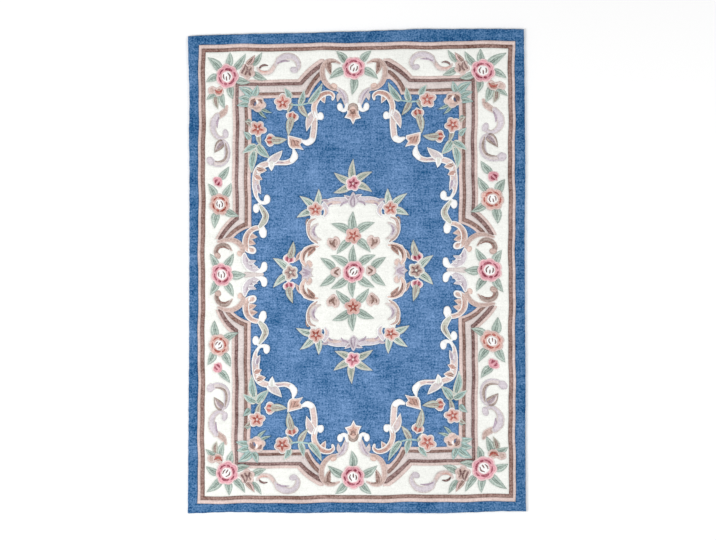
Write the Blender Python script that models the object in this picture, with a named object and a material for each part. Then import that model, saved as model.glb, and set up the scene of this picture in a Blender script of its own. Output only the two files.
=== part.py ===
"""A hand-tufted wool rug with carved pile, lying flat.

The rug is one thick sheet: dense cut pile on its foundation cloth, with the turned edge as part of it.
Its outline is a little out of square and its edges waver, as on a hand-made rug. The carver's channels
along the border stripes, the inner frame, the medallion and the large roses are cut into the pile.
Metres, +Z up. The origin is under the rug, at the centre of its outline. +Y runs along its length.
"""

import math

import bmesh
import bpy
from mathutils import Vector

# Driving dimensions
WIDTH = 1.400
LENGTH = 2.000
THICKNESS = 0.013
PILE_ROUNDING = 0.005
ROUNDING_SEGMENTS = 3
OUTLINE_STEP = 0.055

# The carver's channel, a V cut by a square bar that lies on its edge
CHANNEL_DEPTH = 0.003
CUTTER_LIFT = 0.0005
CUTTER_RADIUS = CHANNEL_DEPTH + CUTTER_LIFT
CHANNEL_STEP = 0.06

# How far each edge stands out from the plain rectangle: (place along the edge, offset outwards)
LEFT_EDGE = (
    (-1.00, 0.0033), (-0.80, 0.0017), (-0.55, 0.0000), (-0.30, -0.0022),
    (0.13, -0.0033), (0.44, -0.0035), (0.57, -0.0010), (0.69, -0.0037), (0.98, 0.0029),
)
RIGHT_EDGE = (
    (-1.00, 0.0037), (-0.93, 0.0017), (-0.68, 0.0000), (-0.49, 0.0014),
    (-0.12, -0.0014), (0.13, -0.0025), (0.44, 0.0002), (0.69, -0.0020), (1.00, -0.0054),
)
BOTTOM_EDGE = (
    (-0.70, 0.0079), (-0.53, 0.0022), (-0.44, 0.0035), (-0.24, 0.0064), (-0.04, 0.0040),
    (0.16, 0.0061), (0.36, 0.0073), (0.46, 0.0037), (0.61, -0.0015), (0.70, -0.0004),
)
TOP_EDGE = (
    (-0.70, -0.0237), (-0.64, -0.0202), (-0.54, -0.0167), (-0.39, -0.0125), (-0.24, -0.0107),
    (-0.04, -0.0048), (0.16, 0.0012), (0.26, 0.0071), (0.36, 0.0058), (0.56, 0.0073), (0.70, 0.0058),
)

# The design was set out on a true rectangle of this half size, then drawn slightly askew
DESIGN_ACROSS = 0.659
DESIGN_ALONG = 0.956
DESIGN_CORNERS = {
    (-1, 1): (-0.6577, 0.9407),
    (1, 1): (0.6565, 0.9586),
    (-1, -1): (-0.6627, -0.9669),
    (1, -1): (0.6594, -0.9573),
}
INNER_SHIFT, INNER_LIFT, INNER_TILT = -0.0072, 0.0018, 0.0105
INNER_EDGE, INNER_END, SHIFT_FADE = 0.53, 0.82, 0.09
WAVER = 0.0014

# Half size of each carved line of the outer stripes: (across, along)
STRIPE_LINES = ((0.659, 0.956), (0.6305, 0.925))

# The carved lines of the inner frame, in one quarter: from the side's cartouche to the end's
FRAME_LINES = {
    "outer": (
        (0.588, 0.143), (0.555, 0.199), (0.510, 0.246), (0.510, 0.809),
        (0.238, 0.809), (0.196, 0.853), (0.146, 0.888),
    ),
    "dark": (
        (0.565, 0.131), (0.531, 0.186), (0.4845, 0.230), (0.4845, 0.784),
        (0.222, 0.784), (0.175, 0.828), (0.120, 0.863),
    ),
    "pale": (
        (0.544, 0.152), (0.507, 0.191), (0.460, 0.217), (0.460, 0.756),
        (0.208, 0.756), (0.182, 0.801), (0.146, 0.838),
    ),
    "inner": (
        (0.512, 0.150), (0.476, 0.180), (0.432, 0.196), (0.432, 0.732),
        (0.190, 0.732), (0.172, 0.769), (0.144, 0.800),
    ),
}

# The medallion's lobed outline in one quarter, from its long axis round to its short axis
MEDALLION_CENTRE = (-0.0075, 0.003)
MEDALLION_QUARTER = (
    (0.000, 0.318), (0.042, 0.296), (0.108, 0.286), (0.124, 0.238), (0.176, 0.236),
    (0.192, 0.176), (0.160, 0.122), (0.205, 0.106), (0.226, 0.062), (0.200, 0.020),
)

# Large roses carved round: (across, along, radius, mirrored across, mirrored along)
ROSES = (
    (0.533, 0.825, 0.050, True, True),
    (0.556, 0.000, 0.049, True, False),
    (0.567, 0.296, 0.044, True, True),
    (-0.006, 0.851, 0.049, False, True),
    (-0.0075, 0.002, 0.046, False, False),
)
ROSE_POINTS = 14
ROSE_CLEARANCE = 0.012


def smooth_offset(rows, place):
    """The offset at a place along an edge, eased between the table's rows."""
    if place <= rows[0][0]:
        return rows[0][1]
    for (start, low), (end, high) in zip(rows, rows[1:]):
        if place <= end:
            share = (place - start) / (end - start)
            return low + (high - low) * share * share * (3 - 2 * share)
    return rows[-1][1]


def outline():
    """The rug's outline, anticlockwise, centred on its own bounding box."""
    half_width, half_length = WIDTH / 2, LENGTH / 2

    def corner(side_x, side_y):
        side = RIGHT_EDGE if side_x > 0 else LEFT_EDGE
        end = TOP_EDGE if side_y > 0 else BOTTOM_EDGE
        x = side_x * (half_width + smooth_offset(side, side_y * half_length))
        y = side_y * (half_length + smooth_offset(end, side_x * half_width))
        return Vector((x, y))

    def run(start, end, rows, across):
        """Points from one corner up to the next, which isn't included."""
        count = round((end - start).length / OUTLINE_STEP)
        points = []
        for i in range(count):
            point = start.lerp(end, i / count)
            if i and across:
                point.y = math.copysign(half_length + smooth_offset(rows, point.x), point.y)
            elif i:
                point.x = math.copysign(half_width + smooth_offset(rows, point.y), point.x)
            points.append(point)
        return points

    south_west, south_east = corner(-1, -1), corner(1, -1)
    north_east, north_west = corner(1, 1), corner(-1, 1)
    points = (
        run(south_west, south_east, BOTTOM_EDGE, True)
        + run(south_east, north_east, RIGHT_EDGE, False)
        + run(north_east, north_west, TOP_EDGE, True)
        + run(north_west, south_west, LEFT_EDGE, False)
    )
    low = Vector((min(p.x for p in points), min(p.y for p in points)))
    high = Vector((max(p.x for p in points), max(p.y for p in points)))
    middle = (low + high) / 2
    return [p - middle for p in points]


def askew(across, along):
    """Where a point of the true design lies on the rug."""
    s = (across / DESIGN_ACROSS + 1) / 2
    t = (along / DESIGN_ALONG + 1) / 2
    x = y = 0.0
    for (side_x, side_y), (corner_x, corner_y) in DESIGN_CORNERS.items():
        weight = (s if side_x > 0 else 1 - s) * (t if side_y > 0 else 1 - t)
        x += weight * corner_x
        y += weight * corner_y
    inward = min(1.0, max(0.0, (INNER_EDGE + SHIFT_FADE - abs(across)) / SHIFT_FADE))
    x += INNER_SHIFT * inward
    inward *= min(1.0, max(0.0, (INNER_END + SHIFT_FADE - abs(along)) / SHIFT_FADE))
    y += (INNER_LIFT + INNER_TILT * across) * inward
    x += WAVER * math.sin(along * 17.0 + across * 5.0) + WAVER * 0.6 * math.sin(along * 41.0 + 1.3)
    y += WAVER * math.sin(across * 19.0 + along * 4.0 + 0.7) + WAVER * 0.6 * math.sin(across * 37.0)
    return x, y


def along_line(corners, closed):
    """Points at an even step along straight runs, with each corner kept."""
    corners = [Vector(c) for c in corners]
    ends = corners[1:] + corners[:1] if closed else corners[1:]
    points = []
    for start, end in zip(corners, ends):
        count = max(1, round((end - start).length / CHANNEL_STEP))
        points += [start.lerp(end, i / count) for i in range(count)]
    if not closed:
        points.append(corners[-1])
    return points


def clear_of_roses(points):
    """The stretches of a line that don't run into a carved rose."""
    stretches, current = [], []
    for point in points:
        covered = any(
            (point - Vector(centre)).length < radius + ROSE_CLEARANCE
            for centre, radius in rose_places()
        )
        if covered:
            stretches.append(current)
            current = []
        else:
            current.append(point)
    stretches.append(current)
    return [s for s in stretches if len(s) > 2]


def rose_places():
    """Centre and radius of every carved rose, in the true design."""
    places = []
    for across, along, radius, both_sides, both_ends in ROSES:
        for side_x in (1, -1) if both_sides else (1,):
            for side_y in (1, -1) if both_ends else (1,):
                places.append(((across * side_x, along * side_y), radius))
    return places


def quarters(corners):
    """One quarter's line, repeated in all four."""
    return [[(x * side_x, y * side_y) for x, y in corners] for side_x in (1, -1) for side_y in (1, -1)]


def stripe_channels():
    """Closed channels along the edges of the outer stripes."""
    lines = []
    for half_x, half_y in STRIPE_LINES:
        ring = ((-half_x, -half_y), (half_x, -half_y), (half_x, half_y), (-half_x, half_y))
        lines.append((along_line(ring, True), True))
    return lines


def frame_channels(corners):
    """One line of the inner frame in all four quarters, broken where a corner rose covers it."""
    lines = []
    for quarter in quarters(corners):
        for stretch in clear_of_roses(along_line(quarter, False)):
            lines.append((stretch, False))
    return lines


def medallion_channel():
    """One closed channel round the medallion, through the quarter's points and their mirror images."""
    quarter = [Vector(p) for p in MEDALLION_QUARTER]
    right = quarter + [Vector((p.x, -p.y)) for p in reversed(quarter)]
    left = [Vector((-p.x, p.y)) for p in reversed(right[1:-1])]
    centre = Vector(MEDALLION_CENTRE)
    return [([p + centre for p in right + left], True)]


def rose_channels():
    """A round channel about each large rose."""
    lines = []
    for (across, along), radius in rose_places():
        turns = [2 * math.pi * i / ROSE_POINTS for i in range(ROSE_POINTS)]
        ring = [Vector((across + radius * math.cos(a), along + radius * math.sin(a))) for a in turns]
        lines.append((ring, True))
    return lines


def mesh_of(curve_object, collection):
    """The curve object as a mesh object of the same name, with its caps welded."""
    graph = bpy.context.evaluated_depsgraph_get()
    mesh = bpy.data.meshes.new_from_object(curve_object.evaluated_get(graph))
    name = curve_object.name
    matrix = curve_object.matrix_world.copy()
    bpy.data.objects.remove(curve_object)
    shape = bmesh.new()
    shape.from_mesh(mesh)
    bmesh.ops.remove_doubles(shape, verts=shape.verts, dist=0.00001)
    bmesh.ops.recalc_face_normals(shape, faces=shape.faces)
    shape.to_mesh(mesh)
    shape.free()
    result = bpy.data.objects.new(name, mesh)
    collection.objects.link(result)
    result.matrix_world = matrix
    return result


def new_collection(name):
    collection = bpy.data.collections.new(name)
    bpy.context.scene.collection.children.link(collection)
    return collection


def add_spline(curve, points, height, closed):
    spline = curve.splines.new("POLY")
    spline.points.add(len(points) - 1)
    for target, (x, y) in zip(spline.points, points):
        target.co = (x, y, height, 1.0)
    spline.use_cyclic_u = closed


def make_sheet(collection):
    """The uncarved sheet: a flat outline, extruded, with the pile's upper edge rounded over."""
    curve = bpy.data.curves.new("rug", "CURVE")
    curve.dimensions = "2D"
    curve.fill_mode = "BOTH"
    curve.extrude = THICKNESS / 2
    add_spline(curve, [(p.x, p.y) for p in outline()], 0.0, True)
    drawn = bpy.data.objects.new("rug", curve)
    collection.objects.link(drawn)
    drawn.location.z = THICKNESS / 2
    bpy.context.view_layer.update()
    rug = mesh_of(drawn, collection)
    rug.data.transform(rug.matrix_world)
    rug.matrix_world.identity()

    shape = bmesh.new()
    shape.from_mesh(rug.data)
    middle = THICKNESS / 2
    rim = [
        edge for edge in shape.edges
        if all(v.co.z > middle for v in edge.verts)
        and len({round(face.normal.z, 1) for face in edge.link_faces}) == 2
    ]
    bmesh.ops.bevel(
        shape, geom=rim, offset=PILE_ROUNDING, segments=ROUNDING_SEGMENTS, profile=0.5, affect="EDGES"
    )
    shape.to_mesh(rug.data)
    shape.free()
    return rug


def make_cutter(name, lines, collection):
    """Square bars, lying on edge along the pile's surface, that cut the channels."""
    curve = bpy.data.curves.new(name, "CURVE")
    curve.dimensions = "3D"
    curve.twist_mode = "Z_UP"
    curve.bevel_depth = CUTTER_RADIUS
    curve.bevel_resolution = 0
    curve.use_fill_caps = True
    for points, closed in lines:
        add_spline(curve, [askew(p.x, p.y) for p in points], THICKNESS + CUTTER_LIFT, closed)
    drawn = bpy.data.objects.new(name, curve)
    collection.objects.link(drawn)
    bpy.context.view_layer.update()
    cutter = mesh_of(drawn, collection)
    cutter.display_type = "WIRE"
    cutter.hide_render = True
    return cutter


def carve(rug, cutter):
    cut = rug.modifiers.new(cutter.name, "BOOLEAN")
    cut.operation = "DIFFERENCE"
    cut.object = cutter


def wool(name, colour):
    material = bpy.data.materials.new(name)
    material.use_nodes = True
    shader = material.node_tree.nodes["Principled BSDF"]
    shader.inputs["Base Color"].default_value = (*colour, 1.0)
    shader.inputs["Roughness"].default_value = 0.95
    shader.inputs["Metallic"].default_value = 0.0
    return material


def main():
    for old in list(bpy.data.objects):
        bpy.data.objects.remove(old)
    part = new_collection("carved_rug")
    cutters = new_collection("channel_cutters")
    rug = make_sheet(part)
    rug.data.materials.append(wool("wool_pile_blue", (0.10, 0.21, 0.43)))
    carve(rug, make_cutter("stripe_channels", stripe_channels(), cutters))
    for name, corners in FRAME_LINES.items():
        carve(rug, make_cutter(f"{name}_frame_channels", frame_channels(corners), cutters))
    carve(rug, make_cutter("medallion_channel", medallion_channel(), cutters))
    carve(rug, make_cutter("rose_channels", rose_channels(), cutters))
    rug.data.shade_smooth()
    rug.data.set_sharp_from_angle(angle=math.radians(25))


main()
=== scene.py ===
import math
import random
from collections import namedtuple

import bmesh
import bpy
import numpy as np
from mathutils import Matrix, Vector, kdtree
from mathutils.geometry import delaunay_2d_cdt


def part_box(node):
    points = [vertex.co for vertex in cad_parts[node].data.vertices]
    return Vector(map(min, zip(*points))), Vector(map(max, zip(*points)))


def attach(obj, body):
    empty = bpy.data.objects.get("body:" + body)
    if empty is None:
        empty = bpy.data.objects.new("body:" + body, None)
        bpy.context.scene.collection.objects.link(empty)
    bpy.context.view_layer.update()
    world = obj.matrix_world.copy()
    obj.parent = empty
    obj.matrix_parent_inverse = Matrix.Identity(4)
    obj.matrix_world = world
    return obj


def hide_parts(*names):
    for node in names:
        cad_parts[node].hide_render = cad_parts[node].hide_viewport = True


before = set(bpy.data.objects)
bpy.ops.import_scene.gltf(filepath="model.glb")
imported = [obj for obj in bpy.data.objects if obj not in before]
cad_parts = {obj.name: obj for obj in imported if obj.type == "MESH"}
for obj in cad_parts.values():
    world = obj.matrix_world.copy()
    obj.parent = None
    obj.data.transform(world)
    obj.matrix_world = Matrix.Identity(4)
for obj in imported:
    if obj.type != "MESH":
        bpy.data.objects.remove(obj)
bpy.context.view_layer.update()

# The looks of a hand-tufted wool rug with carved pile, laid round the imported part.
#
# The design is a chart of flat shapes, drawn in order, so that a later shape covers an earlier one. The
# chart is cut into one triangle mesh of the whole surface, with a carved channel wherever two shapes meet,
# and each yarn colour becomes a piece of its own. The foundation cloth lies below them, and the navy pile's
# sides come down over it.
# Metres, +Z up, the origin under the rug's middle. Only the chart is in millimetres, on the true rectangle
# that the design was set out on; its points are complex numbers, across + along * 1j.

MM = 0.001
rng = random.Random(1408)

# The pile, whose level lies a little below the solid's top
PILE_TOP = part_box("rug")[1].z
PILE_LEVEL = PILE_TOP - 0.0004
PILE_ROUNDING = 0.005
TUFT_UNEVENNESS = 0.00030
NAP_UNEVENNESS = 0.000225

# The channels, carved round a motif and incised inside it; the tufts stand more evenly in them. A patch of
# ground is marked by a depth of its own, because it has no channel against its own colour.
CARVED, INCISED, PATCH = 0.0029, 0.0015, 0.0
CHANNEL_HALF_WIDTH = 0.0025
CHANNEL_FIRMNESS = 0.7

# The foundation cloth, and the pile's sides that come down over it: (down, outwards) for each row
FOUNDATION_THICKNESS = 0.0024
FOUNDATION_INSET = 0.0015
SIDE_ROWS = ((0.0022, 0.0004), (0.0024, 0.0002), (0.0024, -0.0006))
SIDE_UNEVENNESS = 0.0003
SIDE_FOOT = FOUNDATION_THICKNESS - 0.0006

# The edge: the height that the node's lowest vertices lie under, the waver and how fast it turns
NODE_FOOT = 0.0005
EDGE_SWAY, EDGE_SWAY_TURN = 0.0004, 0.37

# The mesh: its steps, the rows just inside the edge, how near to the edge a point counts as on it, and how
# near it may lie to what is there already. The fill's unevenness and clearance are shares of its step.
OUTLINE_STEP = 0.0042
FILL_STEP = 0.0046
FILL_UNEVENNESS, FILL_CLEARANCE = 0.24, 0.52
EDGE_ROWS = (0.0011, 0.0028)
ON_EDGE = 0.0004
KEEP_OFF = 0.0019
WELD = 0.000001

# The design was set out on a true rectangle of this half size, then drawn slightly askew
DESIGN_ACROSS = 0.659
DESIGN_ALONG = 0.956
DESIGN_CORNERS = {
    (-1, 1): (-0.6577, 0.9407),
    (1, 1): (0.6565, 0.9586),
    (-1, -1): (-0.6627, -0.9669),
    (1, -1): (0.6594, -0.9573),
}

# Its inner part is also shifted across, lifted and tilted. That fades out past INNER_EDGE, and the lift and
# tilt past INNER_END too. A slow waver runs over all of it.
INNER_SHIFT, INNER_LIFT, INNER_TILT = -0.0072, 0.0018, 0.0105
INNER_EDGE, INNER_END, SHIFT_FADE = 0.53, 0.82, 0.09
WAVER = 0.0014

# Yarn colours, as seen in daylight, and a slot name for each, which nothing uses
YARNS = {
    "navy": ((66, 111, 157), "pile_navy"),
    "blue": ((88, 128, 175), "pile_blue"),
    "ivory": ((247, 248, 243), "pile_ivory"),
    "white": ((254, 254, 253), "pile_ivory"),
    "cream": ((222, 224, 214), "pile_ivory"),
    "shell": ((224, 213, 210), "pile_pink"),
    "blush": ((228, 206, 200), "pile_pink"),
    "brown": ((156, 125, 117), "pile_brown"),
    "umber": ((148, 119, 116), "pile_brown"),
    "taupe": ((176, 158, 150), "pile_taupe"),
    "tan": ((207, 181, 172), "pile_taupe"),
    "peach": ((231, 203, 192), "pile_peach"),
    "clay": ((203, 163, 151), "pile_peach"),
    "lilac": ((217, 208, 215), "pile_lilac"),
    "mauve": ((188, 170, 186), "pile_lilac"),
    "slate": ((108, 118, 146), "pile_lilac"),
    "sage": ((183, 198, 189), "pile_sage"),
    "moss": ((148, 167, 157), "pile_sage"),
    "mint": ((206, 219, 210), "pile_sage"),
    "teal": ((176, 204, 200), "pile_sage"),
    "olive": ((202, 203, 190), "pile_sage"),
    "petal": ((245, 212, 213), "pile_rose"),
    "pink": ((235, 172, 183), "pile_rose"),
    "salmon": ((228, 186, 176), "pile_rose"),
    "crimson": ((172, 94, 109), "pile_crimson"),
    "brick": ((186, 106, 96), "pile_crimson"),
}

# Half sizes of the outer stripes and the ivory border: (colour, across, along)
STRIPES = (("blush", 659, 956), ("brown", 647.5, 940.5), ("ivory", 630.5, 925))

# The inner frame in one quarter, from the side's cartouche to the end's; each line starts a colour
FRAME = (
    ("blush", ((588, 143), (510, 246), (510, 809), (238, 809), (146, 888))),
    ("umber", ((579, 138), (497.5, 240), (497.5, 797), (230, 797), (133, 877))),
    ("shell", ((565, 131), (484.5, 230), (484.5, 784), (222, 784), (120, 863))),
    ("brown", ((544, 152), (460, 217), (460, 756), (208, 756), (146, 838))),
    ("blush", ((532, 146), (447, 203), (447, 744.5), (196, 744.5), (138, 825))),
    ("blue", ((512, 150), (432, 196), (432, 732), (190, 732), (144, 800))),
)
SIDE_SLANT_SWELL, END_SLANT_SWELL = 8.0, 6.0

# The places that the ends' motifs and the medallion's are drawn about, and the medallion's outline in one
# quarter. The pockets are the ivory ground behind the cartouches, each given by half of its outline.
AXIS_SHIFT = -6 + 0j
MEDALLION_CENTRE = -7.5 + 3j
MEDALLION_QUARTER = (
    (0, 318), (42, 296), (108, 286), (124, 238), (176, 236),
    (192, 176), (160, 122), (205, 106), (226, 62), (200, 20),
)
SIDE_POCKET = (
    (600, 150), (560, 144), (530, 146), (503, 138), (480, 121), (465, 102),
    (458, 84), (454, 61), (441, 39), (416, 22), (392, 12),
)
END_POCKET = (
    (126, 892), (119, 868), (128, 846), (128, 809), (120, 779), (100, 762),
    (75, 755), (52, 745), (30, 742), (30, 700), (12, 690),
)


def askew(z):
    """Where a chart point lies on the rug, in metres."""
    across, along = z.real * MM, z.imag * MM
    s = (across / DESIGN_ACROSS + 1) / 2
    t = (along / DESIGN_ALONG + 1) / 2
    x = y = 0.0
    for (side_x, side_y), (corner_x, corner_y) in DESIGN_CORNERS.items():
        weight = (s if side_x > 0 else 1 - s) * (t if side_y > 0 else 1 - t)
        x += weight * corner_x
        y += weight * corner_y
    inward = min(1.0, max(0.0, (INNER_EDGE + SHIFT_FADE - abs(across)) / SHIFT_FADE))
    x += INNER_SHIFT * inward
    inward *= min(1.0, max(0.0, (INNER_END + SHIFT_FADE - abs(along)) / SHIFT_FADE))
    y += (INNER_LIFT + INNER_TILT * across) * inward
    x += WAVER * math.sin(along * 17.0 + across * 5.0) + WAVER * 0.6 * math.sin(along * 41.0 + 1.3)
    y += WAVER * math.sin(across * 19.0 + along * 4.0 + 0.7) + WAVER * 0.6 * math.sin(across * 37.0)
    return complex(x, y)


# Drawing on the chart

# Steps along outlines, the fewest points round a blob and round each lobe of one, how near to each other
# two corners count as one, and the least width of a scroll's body
CHART_STEP, SWELL_STEPS, BLOB_STEP = 4.0, 8, 3.6
BLOB_POINTS, LOBE_POINTS = 10, 3
SAME_CORNER = 0.5
LEAST_BODY = 1.5

# The points that a band's round end has between its sides, where half its width is under each limit
CAP_POINTS = ((2.0, 0), (6.0, 3), (math.inf, 5))

# The bend of a pointed lobe's sides; then a heart's radius and a crescent's ends, as shares of the width
LOBE_BEND, HEART_SHARE, CRESCENT_END = 0.8, 0.30, 0.35

Shape = namedtuple("Shape", "colour depth outline")
chart = []


def drawer(side, end, centre=0j):
    """The pen for one quarter: what it draws at (across, along) is mirrored there and laid on the rug."""

    def draw(colour, outline, depth=CARVED):
        placed = [askew(centre + complex(side * z.real, end * z.imag)) for z in outline]
        chart.append(Shape(colour, depth, placed))

    return draw


def repeat(motifs, centre=0j, sides=(1, -1), ends=(1, -1)):
    """Draws motifs in all four quarters, or at both ends or both sides alone."""
    for side in sides:
        for end in ends:
            motifs(drawer(side, end, centre))


def pair(z):
    return z.real, z.imag


def direction(angle):
    return complex(math.cos(angle), math.sin(angle))


def by_hand(point, reach):
    """A point a little off, as a hand draws it."""
    return complex(*point) + complex(rng.uniform(-reach, reach), rng.uniform(-reach, reach))


def between(values, share):
    """The value at a share of the way along a list of them."""
    place = share * (len(values) - 1)
    low = min(int(place), len(values) - 2)
    return values[low] + (values[low + 1] - values[low]) * (place - low)


def smooth_piece(a, b, c, d):
    """Points from b almost up to c, on a smooth curve through four points."""
    count = max(1, round(abs(c - b) / CHART_STEP))
    piece = []
    for t in (i / count for i in range(count)):
        piece.append(b + t * (c - a) / 2 + t * t * (2 * a - 5 * b + 4 * c - d) / 2
                     + t ** 3 * (3 * b - a - 3 * c + d) / 2)
    return piece


def curve_through(points):
    """Points at about an even step on a smooth curve through the given ones."""
    padded = [2 * points[0] - points[1]] + points + [2 * points[-1] - points[-2]]
    path = []
    for four in zip(padded, padded[1:], padded[2:], padded[3:]):
        path += smooth_piece(*four)
    return path + [points[-1]]


def curve_round(points):
    """Points on a smooth closed curve through the given pairs."""
    ring = [complex(*p) for p in points]
    path = []
    for i, z in enumerate(ring):
        path += smooth_piece(ring[i - 1], z, ring[(i + 1) % len(ring)], ring[(i + 2) % len(ring)])
    return path


def straight_runs(points, step=CHART_STEP):
    """Points at about an even step round a closed figure, with each corner kept."""
    ring = []
    for start, end in zip(points, points[1:] + points[:1]):
        count = max(1, round(abs(end - start) / step))
        ring += [start + (end - start) * i / count for i in range(count)]
    return ring


def swelling(start, end, swell):
    """Points from a start almost up to an end, on a shallow arc that swells to the right of the way."""
    aside = -1j * (end - start) / abs(end - start)
    shares = [i / SWELL_STEPS for i in range(SWELL_STEPS)]
    return [start + (end - start) * t + aside * 4 * swell * t * (1 - t) for t in shares]


def stroke(draw, colour, points, widths, depth=CARVED):
    """A band along a curve, with round ends. Its widths are given at even places."""
    path = curve_through([complex(*p) for p in points])
    last = len(path) - 1
    left, right = [], []
    for i, z in enumerate(path):
        along = path[min(i + 1, last)] - path[max(i - 1, 0)]
        normal = 1j * along / abs(along)
        half = between(widths, i / last) / 2
        left.append(z + normal * half)
        right.append(z - normal * half)
    outline = left + cap(left[-1], right[-1]) + right[::-1] + cap(right[0], left[0])
    draw(colour, outline, depth)


def cap(start, end):
    """A half circle's inner points, from one side of a band round to the other. A thin band has none."""
    middle, arm = (start + end) / 2, (start - end) / 2
    count = next(points for limit, points in CAP_POINTS if abs(arm) < limit)
    return [middle + arm * direction(-math.pi * i / (count + 1)) for i in range(1, count + 1)]


def inlay(draw, colour, points, widths):
    """A band of another colour inside a motif."""
    stroke(draw, colour, points, widths, INCISED)


def scroll(draw, points, widths, edge, body, lip=4.0):
    """A scroll's band: an edge colour, and a body inside it, narrower by a lip on each side."""
    stroke(draw, edge, points, widths)
    inlay(draw, body, points, [max(w - 2 * lip, LEAST_BODY) for w in widths])


def blob(draw, colour, centre, radius, lobes=0, dent=0.0, turn=0.0, depth=CARVED, stretch=1.0, petals=()):
    """A round shape. With lobes it is scalloped, each as long as petals says; a dent below 0 points them."""
    steps = max(LOBE_POINTS, round(2 * math.pi * radius / (BLOB_STEP * max(lobes, 1))))
    count = steps * lobes if lobes else max(BLOB_POINTS, steps)
    outline = []
    for i in range(count):
        angle = 2 * math.pi * i / count
        wave = abs(math.sin(lobes * angle / 2))
        pull = dent * (1 - wave) if dent > 0 else -dent * wave ** LOBE_BEND
        if petals:
            pull -= (petals[i // steps] - 1) * wave
        z = radius * (1 - pull) * complex(math.cos(angle) * stretch, math.sin(angle))
        outline.append(complex(*centre) + z * direction(turn))
    draw(colour, outline, depth)


def bulb(draw, colour, centre, length, width, turn, heart=None):
    """A scroll's swollen end, an oval laid along a turn, with a smaller heart of another colour."""
    blob(draw, colour, centre, width / 2, turn=turn, stretch=length / width)
    if heart:
        blob(draw, heart, centre, width * HEART_SHARE, turn=turn, depth=INCISED, stretch=length / width)


def arc(draw, colour, centre, radius, start, sweep, width):
    """A crescent: a bent band with thin ends."""
    points = [pair(complex(*centre) + radius * direction(start + sweep * i / 3)) for i in range(4)]
    inlay(draw, colour, points, (width * CRESCENT_END, width, width, width * CRESCENT_END))


def layered(draw, corners, layers):
    """A figure laid over itself, in a colour and at a scale for each layer, about its corners' middle."""
    whole = [complex(*p) for p in corners]
    heart = sum(whole) / len(whole)
    for colour, scale in layers:
        draw(colour, straight_runs([heart + (z - heart) * scale for z in whole]), depth_at(scale))


def depth_at(scale):
    """The channel's depth round a layer: carved about the whole motif, incised about what lies on it."""
    return CARVED if scale == 1.0 else INCISED


# A leaf's half width is share ** LEAF_SWELL * (1 - share), brought to about 1 at its widest. Its midline
# bows aside by a share of its length.
LEAF_SWELL, LEAF_FULLNESS, LEAF_BOW = 0.46, 2.49, 0.06

# The step along a leaf's side, and the fewest steps
LEAF_STEP, FEWEST_STEPS = 4.4, 5

# How far its base and tip may miss their places, where its streak starts and ends, and the streak's two
# sides as shares of the half width: all over a leaf with a pale edge, and on one half of any other
BASE_REACH, TIP_REACH = 1.0, 2.2
STREAK_ENDS = (0.04, 0.94)
PALE_EDGES = ("cream", "white", "shell")
FULL_STREAK, HALF_STREAK = (0.76, -0.76), (0.62, 0.08)

# Its veins: the side that each starts on, as a share of the half width, and the share it reaches to. They
# start a little way up the leaf and close on its midline.
VEINS = ((0.30, 0.66), (-0.34, 0.80))
VEIN_START, VEIN_CLOSING = 0.10, 0.8
VEIN_WIDTHS = (4.2, 4.2, 1.2)

# Colours of a leaf: its body, a streak or None, its veins
ON_IVORY = ("sage", "mint", "moss")
ON_BLUE = ("cream", "teal", "moss")
PALE_ON_BLUE = ("cream", "mint", "moss")
OLIVE_ON_BLUE = ("cream", "olive", "moss")
FRESH = ("teal", "mint", "moss")
OLIVE = ("olive", "mint", "taupe")


def leaf(draw, base, tip, width, colours=ON_IVORY):
    """A pointed leaf with two veins and, if it has a colour for one, a streak."""
    base, tip = by_hand(base, BASE_REACH), by_hand(tip, TIP_REACH)
    along = tip - base
    length = abs(along)
    body, streak, vein = colours

    def beside(share, side):
        half = side * width / 2 * LEAF_FULLNESS * share ** LEAF_SWELL * (1 - share)
        return base + along * complex(share, 4 * LEAF_BOW * share * (1 - share) + half / length)

    def figure(left, right, first, last):
        count = max(FEWEST_STEPS, round(length * (last - first) / LEAF_STEP))
        shares = [first + (last - first) * i / count for i in range(count + 1)]
        rising = [beside(s, left * fade(s, first, last)) for s in shares]
        falling = [beside(s, right * fade(s, first, last)) for s in shares[1:-1]]
        return rising + falling[::-1]

    def fade(share, first, last):
        return 1.0 if first == 0 else math.sin(math.pi * (share - first) / (last - first)) ** 0.5

    draw(body, figure(1, -1, 0.0, 1.0))
    if streak:
        sides = FULL_STREAK if body in PALE_EDGES else HALF_STREAK
        draw(streak, figure(*sides, *STREAK_ENDS), INCISED)
    for side, reach in VEINS:
        shares = (VEIN_START, 0.3 + reach / 5, reach)
        points = [pair(beside(s, side * (1 - s * VEIN_CLOSING))) for s in shares]
        inlay(draw, vein, points, VEIN_WIDTHS)


def leaves(draw, rows, colours=ON_IVORY):
    """Leaves in the same colours, each given by its base, tip and width."""
    for base, tip, width in rows:
        leaf(draw, base, tip, width, colours)


# A rose of radius 1: its layers of petals and of heart (radius, lobes, dent), its crescents of shade (start,
# sweep, width, distance), and the marks in its heart
ROSE_PETALS = ((1.03, 7, 0.11), (0.90, 7, 0.10))
ROSE_HEART = ((0.50, 5, 0.08), (0.43, 5, 0.08))
ROSE_CRESCENTS = (
    (0.15, 0.90, 0.13, 0.66), (1.20, 1.15, 0.22, 0.60), (2.50, 0.65, 0.14, 0.69),
    (3.25, 1.20, 0.18, 0.62), (4.60, 0.50, 0.22, 0.60), (5.22, 0.95, 0.14, 0.67),
)
ROSE_MARKS = (
    ((-0.24, -0.20), (-0.26, 0.08), (-0.04, 0.32)),
    ((0.28, 0.20), (0.30, -0.02), (0.20, -0.24)),
    ((-0.02, -0.30), (0.02, -0.14), (0.04, 0.04)),
)
ROSE_MARK_WIDTHS = (0.08, 0.13, 0.07)


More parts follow.
